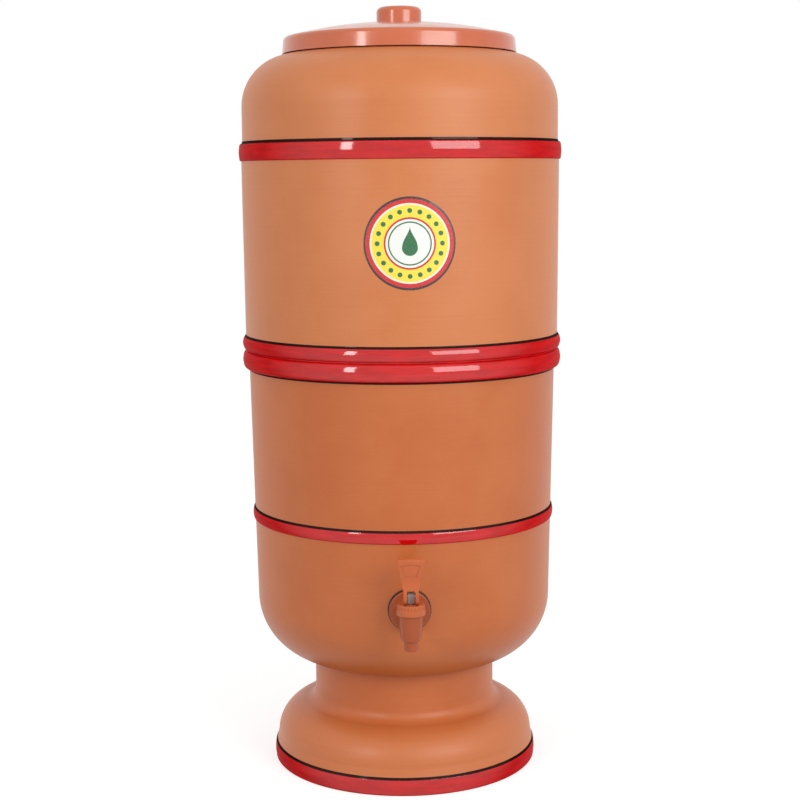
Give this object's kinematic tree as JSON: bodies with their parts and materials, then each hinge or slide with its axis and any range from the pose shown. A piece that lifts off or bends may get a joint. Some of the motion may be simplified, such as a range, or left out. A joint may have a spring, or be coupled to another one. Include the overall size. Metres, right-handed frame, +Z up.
{
  "type": "clay water filter pot",
  "caption": "Two stacked clay chambers with enamelled bands, lift-off lid, pedestal foot, filter candles, float valves and a lever tap.",
  "frame": {"origin": "on the floor under the middle of the foot", "axes": "+Z up the axis of the pot, -Y towards the tap, +X to the right seen from the tap"},
  "size_m": [0.2426, 0.2715, 0.5799],
  "materials": {
    "terracotta": "unglazed red clay, fine-grained and matte, with gloss red enamel on its bands",
    "lid_plastic": "glossy terracotta-coloured plastic",
    "tap_plastic": "satin terracotta-coloured plastic",
    "stem_plastic": "light grey plastic",
    "pin_steel": "plain steel",
    "spring_steel": "drawn steel wire",
    "black_rubber": "soft black rubber",
    "white_plastic": "white plastic",
    "candle_ceramic": "porous white ceramic",
    "red_enamel": "gloss red enamel fired on the clay",
    "black_enamel": "thin dark line painted along the red bands",
    "label_print": "printed label under a gloss film",
    "float_foam": "closed white float"
  },
  "bodies": {
    "root": {"lower_chamber": "terracotta", "tap_body": "tap_plastic", "tap_bonnet": "tap_plastic", "tap_stem_seal": "black_rubber", "tap_spring": "spring_steel", "tap_outer_gasket": "black_rubber", "tap_inner_gasket": "black_rubber", "tap_nut": "tap_plastic"},
    "upper": {"upper_chamber": "terracotta", "candle_gasket_left": "black_rubber", "candle_base_left": "white_plastic", "candle_shell_left": "candle_ceramic", "candle_washer_left": "black_rubber", "candle_nut_left": "white_plastic", "float_valve_left": "white_plastic", "float_pin_left": "pin_steel", "candle_gasket_right": "black_rubber", "candle_base_right": "white_plastic", "candle_shell_right": "candle_ceramic", "candle_washer_right": "black_rubber", "candle_nut_right": "white_plastic", "float_valve_right": "white_plastic", "float_pin_right": "pin_steel"},
    "lid": {"lid": "lid_plastic"},
    "stem": {"tap_stem": "stem_plastic", "tap_seat_washer": "black_rubber", "tap_lever_pin": "pin_steel"},
    "lever": {"tap_lever": "tap_plastic"},
    "float_left": {"float_arm_left": "white_plastic", "float_pad_left": "black_rubber", "float_bulb_left": "float_foam"},
    "float_right": {"float_arm_right": "white_plastic", "float_pad_right": "black_rubber", "float_bulb_right": "float_foam"}
  },
  "joints": [
    {"name": "upper_lift", "type": "slide", "parent": "root", "child": "upper", "axis": [0, 0, 1], "range_m": [0, 0.2]},
    {"name": "lid_lift", "type": "slide", "parent": "upper", "child": "lid", "axis": [0, 0, 1], "range_m": [0, 0.12]},
    {"name": "lever_tilt", "type": "hinge", "parent": "stem", "child": "lever", "pos_m": [0, -0.13976, 0.1616], "axis": [1, 0, 0], "range_deg": [0, 80], "stiffness_Nm_per_rad": 0.02, "springref_deg": -28.65},
    {"name": "stem_lift", "type": "slide", "parent": "root", "child": "stem", "axis": [0, 0, 1], "range_m": [0, 0.0042], "deforming": ["tap_spring"]},
    {"name": "float_swing_left", "type": "hinge", "parent": "upper", "child": "float_left", "pos_m": [-0.048, 0.011, 0.2746], "axis": [-1, 0, 0], "range_deg": [0, 38]},
    {"name": "float_swing_right", "type": "hinge", "parent": "upper", "child": "float_right", "pos_m": [0.048, 0.011, 0.2746], "axis": [-1, 0, 0], "range_deg": [0, 38]}
  ],
  "couplings": [
    {"joint": "stem_lift", "follows": "lever_tilt", "m_per_rad": 0.003008}
  ]
}
